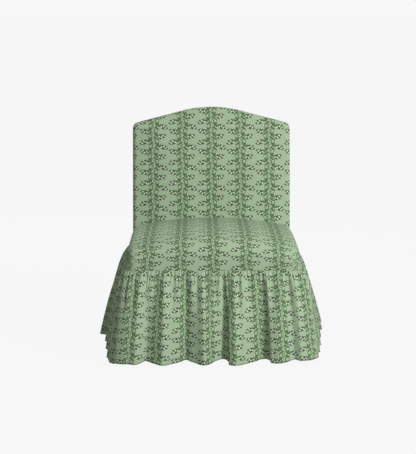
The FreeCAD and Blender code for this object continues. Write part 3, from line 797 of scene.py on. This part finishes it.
def skirt_corners(level):
    """Corners of the skirt in plan, round from the left front: 0 at the seam, 1 at the hem."""
    front_x = front_half + skirt_stand + front_side_flare * level
    rear_x = rear_half + skirt_stand + rear_side_flare * level
    front_y = body_front - skirt_stand - (front_flare - skirt_stand) * level
    rear_y = rear_face_y(skirt_top) + skirt_stand + (rear_flare - skirt_stand) * level
    right_x = rear_x + right_rear_more * level
    places = [(-front_x, front_y), (front_x, front_y), (right_x, rear_y), (-rear_x, rear_y)]
    return [np.array(place) for place in places]


def corner_share(start, corner, end, radius, share):
    """A point of a corner's round, and the way out there; share runs from 0 to 1 through it."""
    before = (corner - start) / np.linalg.norm(corner - start)
    after = (end - corner) / np.linalg.norm(end - corner)
    whole = math.acos(float(before @ after))
    turn = whole * share
    set_back = radius * math.tan(whole / 2)
    normal = np.array([before[1], -before[0]])
    centre = corner - before * set_back - normal * radius
    out = np.cos(turn)[:, None] * normal + np.sin(turn)[:, None] * before
    return centre + out * radius, out


def skirt_width(name, node, panel, folds, seed, begin):
    """One width of the skirt, from the middle of one corner to the middle of the next.

    panel is its number round from the front, begin the place on the print where it starts; the
    result is where it ends there. seed shifts its gathers."""
    hem = skirt_corners(1)
    after = (panel + 1) % 4
    hem_radii = (hem_rounds[panel], hem_rounds[after])
    length = np.linalg.norm(hem[after] - hem[panel]) - sum(hem_radii)
    line, cloth = smooth_run(fold_line(folds, length), skirt_columns)
    corner_first, corner_last = (half_round * radius for radius in hem_radii)
    total = corner_first + cloth + corner_last
    place_along = np.linspace(0, total, skirt_columns)
    on_line = np.clip((place_along - corner_first) / cloth, 0, 1)
    steps = np.linspace(0, 1, skirt_columns)
    along = np.interp(on_line, steps, line[:, 0])
    stand = np.interp(on_line, steps, line[:, 1])
    first = np.clip(place_along / corner_first, 0, 1)
    last = np.clip((place_along - corner_first - cloth) / corner_last, 0, 1)

    def plan(level, radii, along_share):
        """The line of this width in plan at a level, without its folds, and its way out."""
        corners = skirt_corners(level)
        a, b = corners[panel], corners[after]
        run = (b - a) / np.linalg.norm(b - a)
        start, start_out = corner_share(corners[panel - 1], a, b, radii[0], 0.5 + first / 2)
        end, end_out = corner_share(a, b, corners[(after + 1) % 4], radii[1], last / 2)
        straight = start[-1] + (end[0] - start[-1]) * along_share[:, None]
        at_start = (first < 1)[:, None]
        at_end = (last > 0)[:, None]
        straight_out = np.array([run[1], -run[0]])
        way = np.where(at_start, start_out, np.where(at_end, end_out, straight_out))
        return np.where(at_start, start, np.where(at_end, end, straight)), way

    hem_plan, hem_way = plan(1, hem_radii, along / length)
    by_cloth, by_place = 0.4, 0.6
    seam_share = by_cloth * on_line + by_place * along / length
    seam_plan, seam_way = plan(0, (seam_rounds[panel], seam_rounds[after]), seam_share)
    beat = place_along * 2 * math.pi
    phase = seed + gather_wander * np.sin(beat * 2.1 + seed)
    small = np.sin(beat / small_gather_pitch + 2 * phase)
    fine = np.sin(beat / gather_pitch + phase) + small_gather_share * small
    middle = np.sin(beat / flute_pitch + 1.4 * phase + seed)
    edge = np.clip(np.minimum(place_along, total - place_along) / plain_end, 0, 1)
    valley = np.clip(-(stand - valley_from) / valley_span, 0, 1)
    low = hem_height + valley_lift * valley + hem_waver * np.sin(place_along * 19 + seed)
    low += corner_lifts[panel] * np.exp(-((place_along / corner_lift_reach) ** 2))
    low += corner_lifts[after] * np.exp(-(((total - place_along) / corner_lift_reach) ** 2))
    rows = []
    flats = []
    # The top, turned in over the seam, and tucked to the back's side where the seat ends
    for stand_in, rise in turned_top:
        at = seam_plan - seam_way * (skirt_stand - stand_in)
        beside_back = np.clip((at[:, 1] - seat_end_y) / turned_reach, 0, 1)
        beside_back *= np.abs(at[:, 0]) > back_half
        tucked = np.sign(at[:, 0]) * (back_half + stand_in)
        at[:, 0] += (tucked - at[:, 0]) * beside_back
        rows.append(np.column_stack([at, np.full(skirt_columns, skirt_top + rise)]))
        up_cloth = np.full(skirt_columns, seam + rise * 2)
        flats.append(np.column_stack([begin + place_along, up_cloth]))
    # From the seam to the hem
    (sharp, sharp_reach), (faint, faint_reach) = gather_depths
    for share in np.linspace(0, 1, skirt_rows) ** rows_crowded:
        settled = 1 - math.exp(-share * settling)
        flare = share**flare_curve * settled
        at = seam_plan * (1 - flare) + hem_plan * flare
        at = at + hem_way * (stand * share**fold_curve * settled)[:, None]
        gathers = sharp * math.exp(-((share / sharp_reach) ** 2))
        gathers += faint * math.exp(-share / faint_reach)
        flutes = flute_depth * math.exp(-(((share - flute_place) / flute_reach) ** 2))
        flutes += hem_flute_depth * share
        held = min(1.0, share / 0.03 + 0.15)
        wave = (fine * gathers + middle * flutes) * edge * held
        at = at + seam_way * wave[:, None]
        rows.append(np.column_stack([at, skirt_top * (1 - share) + low * share]))
        up_cloth = np.full(skirt_columns, seam - skirt_drop * share)
        flats.append(np.column_stack([begin + place_along, up_cloth]))
    piece = cloth_mesh(name, np.stack(rows), np.stack(flats), printed)
    thick = piece.modifiers.new("cloth", "SOLIDIFY")
    thick.thickness = cloth_thickness
    thick.offset = 0.0
    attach(piece, "root")
    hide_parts(node)
    return begin + total


print_used = -0.385
skirt_folds = {
    "front": front_folds, "right": right_folds, "rear": rear_folds, "left": left_folds,
}
for panel, (name, folds) in enumerate(skirt_folds.items()):
    seed = 1.7 * panel + 0.4
    print_used = skirt_width(
        f"skirt_{name}_cloth", f"skirt_{name}", panel, folds, seed, print_used
    )

# Heading tape: a woven cotton tape in four strips that carries the gathers. It is dyed near
# the cloth's green and sewn on round the seam, under the skirt's turned-in top.
tape = woven("cotton_tape", (0.24, 0.34, 0.2, 1), (0.15, 0.22, 0.12, 1), 0.0012, 0.0003)
dress(tape, "skirt_tape")

# Studio: a pale floor that keeps a faint shadow, a pale world, one strong light from the front
# right, a weak broad one from the front left and a broad one behind the chair.
floor_reach = 30.0
floor_grey = (0.38, 0.38, 0.38, 1)
floor_glow = (0.965, 0.965, 0.965, 1)
floor_glow_share = 0.95
world_white = (1, 1, 1, 1)
world_strength = 0.24
world_seen = (0.94, 0.94, 0.94, 1)


def looked_at(start):
    """1 where the camera or a gloss sees the surface, and 0 where it only gives light."""
    paths = start.node("LightPath")
    return paths.maths("MAXIMUM", Wire(start.tree, paths.socket.node.outputs["Is Glossy Ray"]))


floor_finish = bpy.data.materials.new("pale_floor")
floor_finish.use_nodes = True
floor_finish.node_tree.nodes.clear()
paint = Wire(floor_finish.node_tree)
matt = paint.node("BsdfDiffuse", None, {"Color": floor_grey})
glow = paint.node("Emission", None, {"Color": floor_glow})
share = looked_at(paint) * floor_glow_share
mixed = paint.node("MixShader", None, {0: share, 1: matt, 2: glow})
paint.node("OutputMaterial", None, {"Surface": mixed})

floor_mesh = bpy.data.meshes.new("floor")
corners = [(x * floor_reach, y * floor_reach, 0) for x, y in ((-1, -1), (1, -1), (1, 1), (-1, 1))]
floor_mesh.from_pydata(corners, [], [(0, 1, 2, 3)])
floor_mesh.materials.append(floor_finish)
floor = bpy.data.objects.new("floor", floor_mesh)
bpy.context.scene.collection.objects.link(floor)

world = bpy.data.worlds.new("studio")
bpy.context.scene.world = world
world.use_nodes = True
world.node_tree.nodes.clear()
sky = Wire(world.node_tree)
lit = sky.node("Background", None, {"Color": world_white, "Strength": world_strength})
seen = sky.node("Background", None, {"Color": world_seen, "Strength": 1.0})
both = sky.node("MixShader", None, {0: looked_at(sky), 1: lit, 2: seen})
sky.node("OutputWorld", None, {"Surface": both})


def soft_light(name, stand, target, size, power):
    """A round lamp of a size in metres and a power in watts, turned to its target."""
    lamp = bpy.data.lights.new(name, "AREA")
    lamp.shape = "DISK"
    lamp.size = size
    lamp.energy = power
    holder = bpy.data.objects.new(name, lamp)
    holder.location = stand
    holder.rotation_euler = (Vector(target) - Vector(stand)).to_track_quat("-Z", "Y").to_euler()
    bpy.context.scene.collection.objects.link(holder)


soft_light("key", (2.5, -3.1, 2.7), (0, 0, 0.62), 0.9, 172)
soft_light("fill", (-1.6, -4.0, 1.9), (0, 0, 0.5), 2.0, 6)
soft_light("rear", (-0.8, 3.0, 2.6), (0, 0, 0.5), 2.0, 50)

# Camera: a good seven metres in front of the chair and a metre and a half up, so that it looks
# slightly down on the seat, as the photograph does.
focal_pixels = 1954
picture_height = 454
sensor = 36
aim = Vector((-0.0156, -0.004, 0.435))
camera = bpy.data.objects.new("camera", bpy.data.cameras.new("camera"))
camera.location = (-0.091, -7.127, 1.5)
camera.rotation_euler = (aim - camera.location).to_track_quat("-Z", "Y").to_euler()
camera.data.lens = focal_pixels / picture_height * sensor
camera.data.clip_end = 60
bpy.context.scene.collection.objects.link(camera)
bpy.context.scene.camera = camera
bpy.context.scene.view_settings.view_transform = "Standard"
